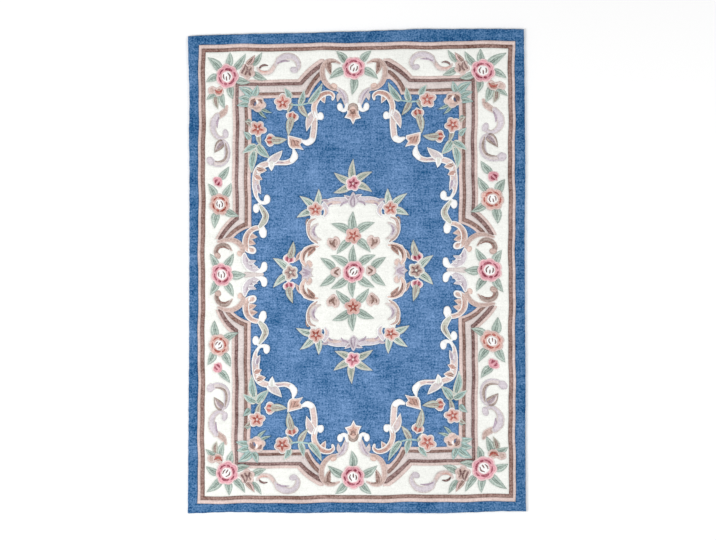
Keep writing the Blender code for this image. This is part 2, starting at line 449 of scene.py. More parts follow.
def rose(draw, centre, radius, colours=("petal", "pink", "crimson", "umber")):
    """A full-blown rose: a soft scalloped rim, crescents of shade, a pale ring and a marked white heart."""
    rim, ring, shade, mark_colour = colours
    turn = rng.uniform(-0.5, 0.5)
    petals = [rng.uniform(0.95, 1.05) for _ in range(ROSE_PETALS[0][1])]
    for colour, depth, (size, lobes, dent) in zip((rim, ring), (CARVED, INCISED), ROSE_PETALS):
        blob(draw, colour, centre, radius * size, lobes, dent, turn, depth, petals=petals)
    for start, sweep, width, distance in ROSE_CRESCENTS:
        arc(draw, shade, centre, radius * distance, turn + start, sweep, radius * width)
    for colour, (size, lobes, dent) in zip((rim, "white"), ROSE_HEART):
        blob(draw, colour, centre, radius * size, lobes, dent, turn, INCISED)
    for mark in ROSE_MARKS:
        points = [pair(complex(*centre) + radius * complex(*p) * direction(turn)) for p in mark]
        inlay(draw, mark_colour, points, [radius * width for width in ROSE_MARK_WIDTHS])


# Colours of a flower, from its rim to its heart
FLOWER_ON_BLUE = ("white", "blush", "salmon", "brick")
FLOWER_ON_IVORY = ("petal", "salmon", "salmon", "brick")
PINK_FLOWER = ("white", "petal", "pink", "crimson")

# A flower of radius 1: its petals, how deep it is cut in between them, the scales of its layers, how far out
# and how wide each ray of its star is, and the dot in the middle
FLOWER_PETALS, FLOWER_DENT = 5, 0.30
FLOWER_LAYERS = (1.0, 0.91, 0.76)
STAR_REACH, STAR_WIDTHS = (0.04, 0.32, 0.58), (0.20, 0.27, 0.12)
FLOWER_DOT = 0.14


def blossom(draw, centre, radius, turn, colours=FLOWER_ON_BLUE):
    """An open flower of five uneven petals, with a star of shade at its heart."""
    turn += rng.uniform(-0.2, 0.2)
    _, edge, _, star = colours
    petals = [rng.uniform(0.88, 1.08) for _ in range(FLOWER_PETALS)]
    for colour, scale in zip(colours, FLOWER_LAYERS):
        blob(draw, colour, centre, radius * scale, FLOWER_PETALS, FLOWER_DENT, turn, depth_at(scale),
             petals=petals)
    for i, petal in enumerate(petals):
        way = direction(turn + 2 * math.pi / FLOWER_PETALS * (i + 0.5)) * radius * petal
        points = [pair(complex(*centre) + way * share) for share in STAR_REACH]
        inlay(draw, star, points, [radius * width for width in STAR_WIDTHS])
    blob(draw, edge, centre, radius * FLOWER_DOT, depth=INCISED)


# Half of a bud's outline, from its stalk to its middle petal's tip, and its layers: (scale, set back)
BUD_SIDE = (
    (-0.80, 0.0), (-0.60, 0.46), (-0.12, 0.92), (0.32, 0.98), (0.66, 0.70), (0.72, 0.38), (1.0, 0.0),
)
BUD_LAYERS = ((1.0, 0.0), (0.86, 0.0), (0.68, -0.08))

# Its two shades: how far aside they lie, their points (forwards, share of that), and their widths. Then
# where its calyx starts and how wide that is.
SHADE_ASIDE = (-0.34, 0.34)
SHADE_POINTS = ((-0.05, 0.8), (0.30, 1.0), (0.60, 0.5))
SHADE_WIDTHS = (0.24, 0.40, 0.14)
CALYX_START, CALYX_WIDTH = 0.05, 1.12


def bud(draw, centre, tip, radius, colours=FLOWER_ON_BLUE, calyx=OLIVE):
    """A bud with two shaded petals and, if it has a calyx, a leaf that runs back from it to the tip."""
    z = complex(*centre)
    facing = (z - complex(*tip)) / abs(z - complex(*tip))
    side = [complex(*p) for p in BUD_SIDE]
    whole = side + [p.conjugate() for p in side[-2:0:-1]]
    for colour, (scale, back) in zip(colours, BUD_LAYERS):
        outline = straight_runs([z + facing * radius * (scale * p - back) for p in whole])
        draw(colour, outline, depth_at(scale))
    for aside in SHADE_ASIDE:
        points = [pair(z + facing * radius * complex(on, aside * share)) for on, share in SHADE_POINTS]
        inlay(draw, colours[3], points, [radius * width for width in SHADE_WIDTHS])
    if calyx:
        leaf(draw, pair(z + facing * radius * CALYX_START), tip, radius * CALYX_WIDTH, calyx)


# The chart itself


def ground():
    """The stripes, ivory border, stepped frame, field and medallion, from the outside in."""
    draw = drawer(1, 1)
    for colour, across, along in STRIPES:
        corner = complex(across, along)
        draw(colour, straight_runs([-corner, corner.conjugate(), corner, -corner.conjugate()]))
    for colour, quarter in FRAME:
        start, side_bend, corner, end_bend, end = (complex(*p) for p in quarter)
        line = swelling(start, side_bend, SIDE_SLANT_SWELL) + [side_bend, corner]
        line += swelling(end_bend, end, END_SLANT_SWELL) + [end]
        draw(colour, straight_runs(all_round(line)))
    pocket = [complex(*p) for p in SIDE_POCKET]
    pocket += [z.conjugate() for z in pocket[::-1]]
    for side in (1, -1):
        drawer(side, 1)("ivory", straight_runs(pocket), PATCH)
    pocket = [complex(*p) for p in END_POCKET]
    pocket += [-z.conjugate() for z in pocket[::-1]]
    for end in (1, -1):
        drawer(1, end, AXIS_SHIFT)("ivory", straight_runs(pocket), PATCH)
    medallion = all_round([complex(*p) for p in MEDALLION_QUARTER[::-1]])
    drawer(1, 1, MEDALLION_CENTRE)("ivory", straight_runs(medallion))


def all_round(quarter):
    """A quarter's corners, mirrored into one closed figure; it may end on the long axis."""
    upper_left = [-z.conjugate() for z in quarter[::-1]]
    lower_left = [-z for z in quarter]
    lower_right = [z.conjugate() for z in quarter[::-1]]
    figure = []
    for z in quarter + upper_left + lower_left + lower_right:
        if not figure or abs(z - figure[-1]) > SAME_CORNER:
            figure.append(z)
    return figure if abs(figure[0] - figure[-1]) > SAME_CORNER else figure[:-1]


def border_corner(draw):
    """The corner rose with its leaves and the two small flowers beside it."""
    leaves(draw, (
        ((553, 846), (624, 906), 36), ((531, 858), (522, 922), 32), ((502, 852), (458, 914), 31),
        ((570, 828), (626, 801), 32), ((500, 815), (433, 799), 30), ((520, 790), (508, 732), 31),
        ((430, 868), (388, 922), 26), ((425, 838), (365, 812), 30),
        ((580, 757), (628, 728), 27), ((565, 760), (543, 692), 34),
    ))
    leaf(draw, (452, 868), (418, 912), 26, ("tan", "petal", "brown"))
    blob(draw, "blush", (447, 843), 34, 5, 0.24, 0.4)
    blob(draw, "tan", (447, 843), 24, 5, 0.24, 0.4, INCISED)
    for points in (((470, 838), (462, 852), (455, 872)), ((455, 832), (447, 848), (452, 866)),
                   ((436, 828), (440, 842), (432, 858))):
        inlay(draw, "umber", points, (8, 8, 3))
    leaf(draw, (586, 744), (572, 690), 27, ("olive", "taupe", "brown"))
    draw("blush", curve_round((
        (548, 768), (558, 748), (580, 745), (592, 754), (614, 752), (619, 774), (600, 786), (580, 780),
        (562, 788))))
    draw("tan", curve_round(((594, 760), (608, 759), (612, 772), (598, 778))), INCISED)
    draw("clay", curve_round(((556, 766), (564, 752), (582, 752), (586, 766), (570, 776))), INCISED)
    inlay(draw, "brick", ((556, 772), (564, 762), (578, 762), (588, 770)), (6, 10, 10, 4))
    rose(draw, (533, 825), 50)


def end_border_scroll(draw):
    """The scroll between the corner and the middle of an end."""
    stroke(draw, "umber", ((400, 852), (392, 864), (378, 870), (364, 868)), (5, 9, 9, 4))
    scroll(draw, ((406, 858), (394, 842), (374, 838), (352, 844), (338, 862), (328, 884)),
           (10, 18, 20, 22, 20, 12), "shell", "blush")
    inlay(draw, "salmon", ((398, 850), (382, 842), (362, 844)), (4, 7, 4))
    scroll(draw, ((332, 868), (318, 890), (290, 903), (262, 901), (242, 884), (236, 862), (246, 846)),
           (12, 30, 32, 28, 25, 22, 18), "shell", "lilac", lip=5.0)
    inlay(draw, "mauve", ((324, 876), (302, 884), (272, 884)), (5, 9, 3))
    bulb(draw, "lilac", (254, 848), 34, 25, 0.3)


def side_border_scroll(draw):
    """The scrolls and the bud between the corner and the side's second rose."""
    scroll(draw, ((534, 702), (544, 682), (562, 668), (584, 654)), (14, 27, 26, 18), "blush", "tan", lip=5.0)
    scroll(draw, ((578, 664), (596, 636), (598, 604), (584, 580), (563, 570), (544, 578)),
           (26, 34, 30, 24, 20, 18), "shell", "lilac", lip=5.0)
    inlay(draw, "mauve", ((572, 656), (580, 634), (580, 612)), (5, 11, 3))
    bulb(draw, "lilac", (541, 590), 38, 25, 1.3)
    leaf(draw, (546, 560), (590, 510), 38, ("taupe", "shell", "mauve"))
    scroll(draw, ((550, 562), (537, 546), (531, 510), (539, 480), (560, 464), (588, 464), (606, 480)),
           (10, 22, 26, 26, 24, 24, 22), "lilac", "shell", lip=7.0)
    inlay(draw, "taupe", ((540, 548), (534, 514), (541, 486), (560, 474), (586, 472)), (5, 10, 10, 9, 4))
    bulb(draw, "lilac", (608, 472), 38, 30, 0.9)
    leaf(draw, (566, 400), (522, 452), 32)
    bud(draw, (571, 390), (548, 414), 26, ("petal", "pink", "pink", "crimson"), None)


def side_rose(draw):
    """The rose beside a side's cartouche, with its leaves."""
    leaves(draw, (
        ((586, 322), (618, 379), 36), ((550, 326), (514, 386), 34),
        ((548, 276), (482, 242), 33), ((578, 262), (588, 192), 37),
    ))
    rose(draw, (567, 294), 46, ("blush", "salmon", "brick", "umber"))


def side_cartouche(draw):
    """Half of the cartouche at the middle of a side."""
    leaves(draw, (((575, 26), (608, 86), 34), ((542, 32), (504, 91), 33)))
    scroll(draw, ((572, 138), (540, 146), (511, 146), (482, 130), (466, 104), (461, 80)),
           (12, 18, 21, 22, 20, 14), "blush", "tan")
    bulb(draw, "peach", (478, 88), 26, 20, 1.2)
    scroll(draw, ((458, 84), (454, 61), (441, 40), (418, 22), (390, 10)),
           (16, 34, 40, 30, 14), "white", "lilac", lip=4.5)
    inlay(draw, "mauve", ((450, 72), (444, 54), (428, 36)), (3, 8, 3))
    leaves(draw, (((446, 50), (410, 60), 20), ((428, 30), (402, 36), 16)), ("white", "lilac", "lilac"))
    scroll(draw, ((570, 76), (580, 94), (572, 116), (550, 127), (528, 121), (511, 102)),
           (22, 22, 20, 19, 16, 7), "blush", "taupe", lip=2.5)
    inlay(draw, "brown", ((572, 84), (575, 98), (564, 113), (544, 117), (524, 108)), (6, 9, 9, 8, 4))
    bulb(draw, "tan", (573, 80), 30, 24, 0.2)
    stroke(draw, "white", ((376, 40), (378, 26), (392, 14), (410, 8)), (24, 29, 18, 12))


def side_middle(draw):
    """What lies on the axis of a side: the neck between the terminals, a leaf and the rose."""
    stroke(draw, "shell", ((452, 0), (420, 0), (384, 0)), (24, 18, 12))
    leaf(draw, (520, 1), (451, -2), 38)
    rose(draw, (556, 0), 49)


def field_scroll(draw):
    """The scroll that climbs the field's edge from the side's cartouche to the palmette."""
    leaves(draw, (((455, 168), (408, 154), 31), ((452, 142), (412, 126), 30)), ("shell", "peach", "clay"))
    scroll(draw, ((386, 190), (412, 193), (437, 181), (453, 157), (455, 128), (446, 106), (430, 97)),
           (16, 22, 24, 27, 28, 26, 22), "white", "peach")
    inlay(draw, "tan", ((412, 190), (436, 182), (452, 156), (454, 128), (445, 110)), (4, 9, 12, 12, 6))
    inlay(draw, "clay", ((444, 168), (450, 150), (449, 130)), (4, 8, 4))
    stroke(draw, "white", ((387, 188), (385, 176), (383, 164)), (26, 34, 27))
    bulb(draw, "white", (427, 102), 38, 31, 0.6, "peach")
    inlay(draw, "tan", ((438, 110), (428, 106), (422, 98)), (6, 8, 4))
    scroll(draw, ((398, 288), (379, 258), (372, 240), (379, 220), (396, 198)),
           (14, 24, 28, 29, 20), "white", "olive")
    inlay(draw, "taupe", ((382, 266), (372, 246), (376, 228)), (3, 6, 3))
    stroke(draw, "white", ((411, 278), (405, 289), (396, 295)), (18, 10, 9))
    bulb(draw, "white", (412, 274), 38, 27, 1.5)
    rising = ((399, 303), (412, 330), (411, 364), (410, 400), (405, 430), (388, 450), (360, 459),
              (330, 462), (291, 461), (264, 472), (252, 492))
    scroll(draw, rising, (12, 18, 33, 33, 32, 30, 26, 22, 20, 24, 27), "white", "blush", lip=5.0)
    inlay(draw, "lilac", ((414, 344), (415, 362), (411, 386)), (5, 14, 6))
    stroke(draw, "white", ((405, 318), (400, 305), (387, 297), (373, 299), (367, 310)), (8, 12, 14, 20, 26))
    bulb(draw, "white", (366, 311), 38, 27, 1.5)
    leaf(draw, (404, 376), (391, 332), 22, ("white", "lilac", "mauve"))
    leaf(draw, (410, 440), (368, 430), 34, ("white", "peach", "brown"))
    leaf(draw, (416, 412), (384, 394), 27, ("white", "salmon", "clay"))
    inlay(draw, "mauve", ((352, 462), (324, 463), (298, 463)), (3, 6, 3))
    leaf(draw, (364, 462), (302, 514), 38, ("white", "shell", "lilac"))
    leaf(draw, (345, 470), (344, 427), 28, ("white", None, "cream"))
    stroke(draw, "white", ((258, 520), (253, 502), (252, 486), (264, 471)), (7, 20, 27, 19))


def palmette(draw):
    """The palmette where the field's scrolls meet."""
    layered(draw, (
        (279, 577), (253, 571), (217, 562), (216, 549), (226, 538), (212, 515), (240, 521),
        (258, 518), (270, 525), (277, 540),
    ), (("white", 1.0), ("peach", 0.84), ("clay", 0.52)))
    for points in (((267, 562), (263, 546), (261, 532)), ((255, 558), (249, 545), (244, 533)),
                   ((244, 556), (236, 551), (229, 547))):
        inlay(draw, "brown", points, (2, 4, 2))


def end_scroll(draw):
    """The branch from the palmette to the cartouche at an end, drawn beside the axis."""
    scroll(draw, ((204, 548), (188, 545), (173, 558), (168, 584), (165, 612), (163, 646)),
           (16, 26, 28, 28, 28, 25), "white", "blush", lip=5.0)
    stroke(draw, "white", ((211, 551), (192, 545), (177, 553)), (14, 26, 26))
    leaf(draw, (162, 672), (196, 592), 35, ("white", "blush", "lilac"))
    leaf(draw, (130, 744), (116, 702), 26, ("white", "peach", "clay"))
    scroll(draw, ((158, 656), (163, 686), (154, 714), (138, 734), (118, 744), (98, 745), (84, 734),
                  (86, 719)),
           (22, 24, 25, 26, 27, 24, 19, 11), "white", "peach", lip=4.5)
    inlay(draw, "clay", ((150, 718), (134, 738), (114, 746), (96, 745), (86, 732)), (5, 10, 12, 9, 4))
    stroke(draw, "white", ((161, 670), (156, 655), (147, 644), (138, 645)), (8, 12, 13, 18))
    bulb(draw, "white", (136, 651), 33, 25, 1.4)


def end_cartouche(draw):
    """Half of the cartouche at the middle of an end, drawn beside the axis."""
    scroll(draw, ((58, 871), (84, 881), (110, 878), (127, 858), (131, 834), (127, 808), (114, 784),
                  (91, 766), (74, 761)),
           (8, 16, 20, 23, 24, 23, 22, 20, 14), "blush", "tan", lip=4.5)
    leaf(draw, (106, 878), (94, 820), 26, ("tan", None, "brown"))
    inlay(draw, "brown", ((74, 876), (98, 872), (102, 850), (94, 828)), (3, 8, 11, 4))
    bulb(draw, "peach", (82, 776), 28, 20, 0.4)
    scroll(draw, ((66, 766), (53, 752), (37, 730), (28, 699)), (10, 30, 28, 18), "shell", "lilac", lip=5.0)
    leaf(draw, (54, 748), (63, 710), 20, ("shell", None, "lilac"))
    inlay(draw, "mauve", ((60, 758), (44, 738), (36, 714)), (3, 6, 2))
    stroke(draw, "white", ((53, 684), (43, 674), (31, 678), (25, 698)), (20, 16, 16, 15))
    bulb(draw, "white", (55, 688), 34, 24, 1.5)
    leaves(draw, (((30, 876), (76, 922), 33), ((36, 846), (102, 804), 34)))


def end_middle(draw):
    """What lies on the axis at an end: the pendant palmette, a leaf and the rose."""
    layered(draw, (
        (-2, 614), (9, 635), (32, 640), (23, 660), (23, 682), (12, 700), (-10, 702), (-25, 686),
        (-25, 662), (-38, 644), (-13, 636),
    ), (("white", 1.0), ("peach", 0.80), ("clay", 0.46)))
    inlay(draw, "taupe", ((-20, 676), (-14, 692), (0, 698), (13, 690), (18, 674)), (7, 13, 14, 13, 7))
    inlay(draw, "brown", ((-12, 674), (-2, 660), (8, 674)), (5, 9, 5))
    leaf(draw, (0, 812), (-6, 738), 34)
    rose(draw, (0, 851), 49)


def corner_spray(draw):
    """The rosette, flowers, buds and leaves in a corner of the field."""
    for base, tip, width, colours in (
        ((427, 742), (485, 780), 34, FRESH), ((422, 740), (406, 786), 28, FRESH),
        ((434, 722), (488, 736), 30, FRESH), ((434, 706), (492, 700), 26, FRESH),
        ((396, 694), (346, 672), 15, FRESH), ((402, 684), (366, 648), 15, FRESH),
        ((268, 724), (297, 774), 30, ON_BLUE), ((262, 714), (280, 668), 26, OLIVE),
        ((190, 706), (137, 788), 30, ON_BLUE), ((228, 702), (212, 766), 28, ON_BLUE),
        ((230, 706), (192, 644), 27, OLIVE),
        ((408, 538), (356, 482), 36, ON_BLUE), ((408, 534), (470, 500), 31, ON_BLUE),
        ((418, 516), (427, 418), 36, ON_BLUE), ((405, 590), (392, 528), 22, OLIVE),
        ((436, 560), (466, 592), 25, FRESH), ((450, 644), (426, 618), 18, FRESH),
        ((430, 618), (462, 640), 18, OLIVE),
    ):
        leaf(draw, base, tip, width, colours)
    inlay(draw, "teal", ((262, 704), (228, 702), (180, 711)), (6, 8, 5))
    bud(draw, (262, 651), (279, 570), 28)
    bud(draw, (350, 557), (282, 560), 28)
    blossom(draw, (300, 712), 39, math.pi / 2 + 0.6)
    blossom(draw, (407, 604), 37, 0.2)
    rosette(draw, 408 + 709j)


def rosette(draw, centre):
    """The big flower in a corner of the field, its petals curled round each other."""
    blob(draw, "shell", pair(centre), 35, 5, 0.20, 0.2, stretch=1.16)
    blob(draw, "peach", pair(centre), 29, 5, 0.20, 0.2, INCISED, stretch=1.16)
    for colour, points, widths in (
        ("tan", ((18, -14), (4, -19), (-12, -15)), (6, 10, 6)),
        ("brown", ((23, -4), (22, 8), (9, 19)), (6, 12, 6)),
        ("umber", ((14, -8), (14, 3), (7, 11)), (6, 12, 6)),
        ("slate", ((8, -8), (6, 1), (2, 8)), (5, 10, 4)),
        ("white", ((-2, 0), (-3, 7), (0, 14)), (5, 9, 5)),
        ("brown", ((-8, 16), (-16, 13), (-21, 3)), (6, 13, 6)),
    ):
        inlay(draw, colour, [pair(centre + complex(*p)) for p in points], widths)


def medallion_rim(draw):
    """A quarter of the scrollwork round the medallion."""
    scroll(draw, ((6, 300), (40, 293), (72, 293), (104, 287), (136, 268)),
           (28, 34, 34, 30, 14), "white", "lilac", lip=3.5)
    inlay(draw, "blush", ((52, 288), (78, 288), (112, 280)), (6, 16, 8))
    inlay(draw, "mauve", ((22, 292), (42, 284), (52, 272)), (4, 9, 4))
    inlay(draw, "mauve", ((86, 284), (98, 280), (104, 270)), (4, 8, 4))
    for across in (30, 68):
        blob(draw, "ivory", (across, 263), 18, depth=PATCH)
    scroll(draw, ((122, 282), (111, 262), (110, 246), (119, 230)),
           (18, 24, 22, 10), "white", "lilac", lip=3.5)
    inlay(draw, "peach", ((114, 262), (112, 248), (117, 238)), (4, 8, 3))
    leaf(draw, (104, 292), (136, 300), 15, ("shell", "lilac", "mauve"))
    leaf(draw, (188, 228), (180, 160), 18, ("tan", "blush", "brown"))
    scroll(draw, ((158, 224), (179, 214), (187, 190), (184, 164), (171, 140), (150, 122)),
           (12, 19, 21, 22, 20, 12), "white", "tan", lip=3.5)
    stroke(draw, "shell", ((148, 202), (166, 190), (172, 166), (158, 144), (138, 136)), (8, 18, 26, 22, 8))
    inlay(draw, "lilac", ((152, 198), (165, 184), (167, 164), (154, 146)), (4, 12, 18, 6))
    inlay(draw, "mauve", ((160, 190), (168, 172), (160, 152)), (4, 8, 4))
    leaf(draw, (200, 88), (240, 44), 25, ("blush", "tan", "brown"))
    scroll(draw, ((146, 108), (174, 105), (198, 90), (210, 65), (205, 40), (192, 25)),
           (14, 24, 28, 27, 22, 14), "white", "peach", lip=3.5)
    inlay(draw, "brown", ((158, 108), (182, 101), (202, 80), (206, 52)), (4, 9, 10, 4))
    leaf(draw, (158, 104), (190, 64), 20, ("clay", None, "brown"))
    bulb(draw, "blush", (182, 36), 32, 26, 1.2, "peach")


def medallion_corner(draw):
    """The flower on a shoulder of the medallion."""
    leaves(draw, (
        ((158, 264), (224, 320), 31), ((154, 268), (143, 346), 31), ((160, 258), (236, 230), 31),
    ), PALE_ON_BLUE)
    blossom(draw, (156, 262), 36, 1.0)


def medallion_inside(draw):
    """A quarter of the spray on the medallion's ivory ground."""
    leaves(draw, (
        ((22, 26), (92, 68), 34), ((76, 10), (136, 60), 33), ((14, 164), (90, 200), 34),
        ((12, 132), (70, 74), 34),
    ))
    draw("blush", curve_round((
        (56, 118), (60, 140), (76, 149), (88, 140), (104, 142), (111, 121), (96, 101), (76, 91))))
    draw("tan", curve_round(((66, 118), (72, 136), (84, 130), (98, 134), (100, 118), (82, 100))), INCISED)
    inlay(draw, "brown", ((76, 104), (84, 118), (78, 136)), (6, 11, 5))
    inlay(draw, "brown", ((84, 112), (96, 120), (99, 130)), (5, 8, 4))


def medallion_upright(draw):
    """What lies on the medallion's long axis, at one end."""
    leaves(draw, (((0, 28), (0, 110), 32), ((0, 164), (0, 250), 36)))
    blossom(draw, (0, 147), 38, math.pi / 2, FLOWER_ON_IVORY)
    leaves(draw, (((0, 296), (-38, 318), 20), ((0, 296), (38, 318), 20)), ("white", "lilac", "mauve"))
    draw("lilac", curve_round((
        (-22, 292), (-13, 312), (0, 330), (13, 312), (22, 292), (12, 274), (0, 264), (-12, 274))))
    leaf(draw, (0, 270), (0, 320), 20, ("mauve", None, "lilac"))
    leaves(draw, (
        ((2, 368), (80, 412), 31), ((-2, 368), (-80, 412), 31), ((4, 364), (80, 328), 31),
        ((-4, 364), (-80, 328), 31), ((0, 370), (-4, 466), 31),
    ), OLIVE_ON_BLUE)
    blossom(draw, (0, 364.5), 37, -math.pi / 2, PINK_FLOWER)


def medallion_sideways(draw):
    """What lies on the medallion's short axis, at one side."""
    blob(draw, "blush", (72, 0), 23, 3, 0.16, math.pi)
    inlay(draw, "brown", ((62, 11), (76, 0), (64, -11)), (6, 10, 6))
    for end in (1, -1):
        leaf(draw, (264, 6 * end), (332, 60 * end), 33, PALE_ON_BLUE)
        bud(draw, (264, 60 * end), (250, 128 * end), 27, PINK_FLOWER)
    blob(draw, "shell", (194, 0), 40, 7, -0.34, 0.0, stretch=0.80)
    blob(draw, "lilac", (194, 0), 34, 7, -0.36, 0.0, INCISED, stretch=0.80)
    for aside in (-16, 16, 0):
        inlay(draw, "mauve", ((182, aside * 0.3), (196, aside * 0.6), (210, aside)), (4, 9, 3))
    blossom(draw, (260, 0), 37, math.pi, ("white", "cream", "tan", "umber"))


def draw_chart():
    """All shapes, from the ground up; the middle rose is the last."""
    ground()
    repeat(field_scroll)
    repeat(end_scroll, AXIS_SHIFT)
    repeat(palmette, AXIS_SHIFT / 2)
    for motifs in (corner_spray, end_border_scroll, side_border_scroll, border_corner, side_cartouche,
                   side_rose):
        repeat(motifs)
    repeat(side_middle, ends=(1,))
    repeat(end_cartouche, AXIS_SHIFT)
    repeat(end_middle, AXIS_SHIFT, sides=(1,))
    repeat(medallion_rim, MEDALLION_CENTRE)
    repeat(medallion_inside, MEDALLION_CENTRE)
    repeat(medallion_upright, MEDALLION_CENTRE, sides=(1,))
    repeat(medallion_sideways, MEDALLION_CENTRE, ends=(1,))
    repeat(medallion_corner, MEDALLION_CENTRE)
    rose(drawer(1, 1, MEDALLION_CENTRE), (0, -1), 46)


# The surface


def rug_outline():
    """The rug's edge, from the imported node's lowest points, at a fine step and with a slight waver."""
    low = {(round(v.co.x, 5), round(v.co.y, 5))
           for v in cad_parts["rug"].data.vertices if v.co.z < NODE_FOOT}
    corners = [complex(*p) for p in sorted(low, key=lambda p: math.atan2(p[1], p[0]))]
    ring = straight_runs(corners, OUTLINE_STEP)
    edge = []
    for i, z in enumerate(ring):
        along = ring[(i + 1) % len(ring)] - ring[i - 1]
        sway = EDGE_SWAY * math.sin(i * EDGE_SWAY_TURN) + rng.uniform(-EDGE_SWAY, EDGE_SWAY)
        edge.append(z + 1j * along / abs(along) * sway)
    return edge


def inset(ring, distance):
    """A closed ring's points, moved inwards; the ring runs anticlockwise."""
    moved = []
    for i, z in enumerate(ring):
        along = ring[(i + 1) % len(ring)] - ring[i - 1]
        moved.append(z + 1j * along / abs(along) * distance)
    return moved


def tree_of(points):
    """A search tree that finds the nearest of the points."""
    tree = kdtree.KDTree(len(points))
    for i, z in enumerate(points):
        tree.insert((z.real, z.imag, 0.0), i)
    tree.balance()
    return tree


def distance_to(tree, z):
    return tree.find((z.real, z.imag, 0.0))[2]


def surface_points(edge):
    """Outline points with the edges that join them, then the points that fill the pile between."""
    points, edges = [], []
    for outline in [edge] + [shape.outline for shape in chart]:
        first = len(points)
        points += outline
        edges += [(first + i, first + (i + 1) % len(outline)) for i in range(len(outline))]
    lines = tree_of(points)
    rings = [z for distance in EDGE_ROWS for z in inset(edge, distance)]
    for shape in chart:
        for side in (CHANNEL_HALF_WIDTH, -CHANNEL_HALF_WIDTH):
            rings += [z for z in inset(shape.outline, side) if distance_to(lines, z) > KEEP_OFF]
    inside = inset(edge, PILE_ROUNDING)
    span_x, span_y = max(z.real for z in inside), max(z.imag for z in inside)
    near = tree_of(points + rings)
    fill = []
    rows = int(2 * span_y / FILL_STEP)
    columns = int(2 * span_x / FILL_STEP)
    for row in range(rows + 1):
        for column in range(columns + 1):
            x = -span_x + (column + 0.5 * (row % 2)) * FILL_STEP
            z = complex(x, -span_y + row * FILL_STEP)
            z += complex(rng.uniform(-1, 1), rng.uniform(-1, 1)) * FILL_STEP * FILL_UNEVENNESS
            if distance_to(near, z) > FILL_STEP * FILL_CLEARANCE:
                fill.append(z)
    return points + rings + fill, edges


# A triangle's zone is the number of the shape that lies uppermost on it, or one of these
OUTSIDE, PLAIN_BORDER = -2, -1


def cut_surface(edge):
    """The surface's points, and its triangles with the zone of each."""
    points, edges = surface_points(edge)
    places = [Vector((z.real, z.imag)) for z in points]
    flat, _, faces, _, _, _ = delaunay_2d_cdt(places, edges, [], 0, WELD)
    xy = np.array([tuple(v) for v in flat])
    faces = np.array(faces)
    middle = xy[faces].mean(axis=1)
    order = np.argsort(middle[:, 1])
    faces, middle = faces[order], middle[order]
    zone = np.full(len(faces), OUTSIDE)
    for number, outline in enumerate([edge] + [shape.outline for shape in chart], PLAIN_BORDER):
        zone[wound_round(outline, middle) != 0] = number
    kept = zone > OUTSIDE
    return xy, faces[kept], zone[kept]


def yarns_of(zone):
    """The yarn's name for each of an array of zones."""
    return np.array(["navy"] + [shape.colour for shape in chart])[zone - PLAIN_BORDER]


def wound_round(outline, middle):
    """How often an outline winds round each point. The points are in order of their second number."""
    winding = np.zeros(len(middle), int)
    for start, end in zip(outline, outline[1:] + outline[:1]):
        low, high = sorted((start.imag, end.imag))
        first, last = np.searchsorted(middle[:, 1], (low, high))
        if first == last:
            continue
        share = (middle[first:last, 1] - start.imag) / (end.imag - start.imag)
        crossing = start.real + share * (end.real - start.real)
        turn = 1 if end.imag > start.imag else -1
        winding[first:last] += np.where(crossing > middle[first:last, 0], turn, 0)
    return winding


def channel_points(xy, faces, zone):
    """Points along the lines where two shapes meet, with the depth of the channel there.

    A patch of ground has no channel where it lies on its own colour, and the usual one elsewhere.
    """
    sides = np.concatenate([faces[:, [0, 1]], faces[:, [1, 2]], faces[:, [2, 0]]])
    owner = np.tile(np.arange(len(faces)), 3)
    sides.sort(axis=1)
    order = np.lexsort((sides[:, 1], sides[:, 0]))
    sides, owner = sides[order], owner[order]
    paired = np.nonzero((sides[:-1] == sides[1:]).all(axis=1))[0]
    first, second = zone[owner[paired]], zone[owner[paired + 1]]
    upper = np.maximum(first, second)
    depths = np.array([shape.depth for shape in chart])[upper]
    alike = yarns_of(first) == yarns_of(second)
    meeting = (first != second) & ~(alike & (depths == PATCH))
    depths = np.where(depths == PATCH, CARVED, depths)[meeting]
    ends = xy[sides[paired[meeting]]]
    return np.concatenate([ends[:, 0], ends.mean(axis=1), ends[:, 1]]), np.tile(depths, 3)


def nap_wave(x, y):
    """The slow waves of a pile that lies one way and then another, from -1 to 1."""
    return math.sin(9 * x + 4 * math.sin(5 * y)) * math.cos(8 * y + 3 * math.sin(6 * x))


def pile_heights(xy, faces, zone, edge):
    """The height of each point: level pile, sunk along the channels, rounded over at the rug's edge.

    Beside it comes how far each point is sunk, from 0 on the level pile to 1 in the deepest channel.
    """
    line, depths = channel_points(xy, faces, zone)
    channels = tree_of([complex(*p) for p in line])
    rim = tree_of(edge)
    heights, sinking = np.empty(len(xy)), np.empty(len(xy))
    for i, (x, y) in enumerate(xy):
        _, nearest, gap = channels.find((x, y, 0.0))
        sunk = math.exp(-((gap / CHANNEL_HALF_WIDTH) ** 2))
        loose = rng.gauss(0, TUFT_UNEVENNESS) * (1 - CHANNEL_FIRMNESS * sunk)
        z = PILE_LEVEL - depths[nearest] * sunk + NAP_UNEVENNESS * nap_wave(x, y) + loose
        inward = rim.find((x, y, 0.0))[2]
        if inward < PILE_ROUNDING:
            drop = 1 - math.sqrt(max(0.0, 1 - (1 - inward / PILE_ROUNDING) ** 2))
            z -= drop * PILE_ROUNDING
        heights[i] = min(z, PILE_TOP)
        sinking[i] = sunk * depths[nearest] / CARVED
    return heights, sinking


def riding(mesh):
    """A piece made of a mesh and named after it, riding on the rug's body."""
    made = bpy.data.objects.new(mesh.name, mesh)
    bpy.context.scene.collection.objects.link(made)
    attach(made, "root")
    return made


